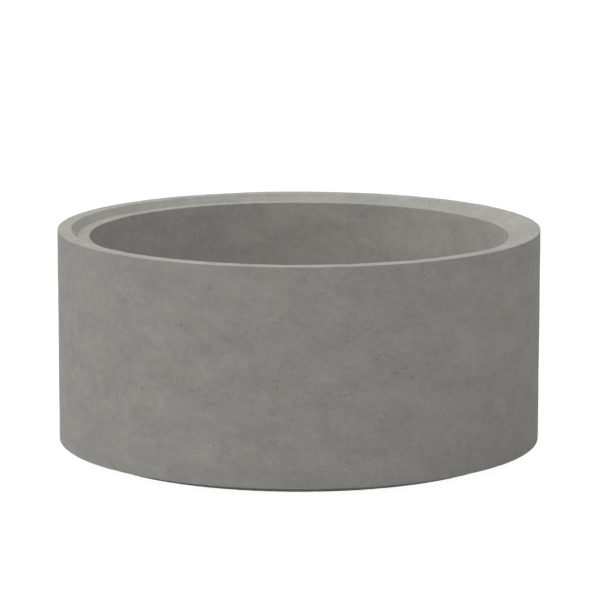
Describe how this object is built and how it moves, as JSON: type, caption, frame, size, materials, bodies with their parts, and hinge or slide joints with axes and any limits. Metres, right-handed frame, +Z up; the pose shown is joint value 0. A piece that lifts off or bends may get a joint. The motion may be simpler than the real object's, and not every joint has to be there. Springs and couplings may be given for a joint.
{
  "type": "concrete culvert ring",
  "caption": "Short wide concrete tube with a sloped rebate round the inner top edge and a matching tongue under the base, stacked to line wells, manholes and culverts.",
  "frame": {"origin": "on the bore axis, in the plane of the tongue's underside that the ring stands on", "axes": "+Z up along the bore axis, from the tongue to the rebate; the ring is the same all round"},
  "size_m": [1.1538, 1.154, 0.527],
  "materials": {
    "concrete": "matte"
  },
  "bodies": {
    "root": {"concrete_ring": "concrete"}
  },
  "joints": []
}
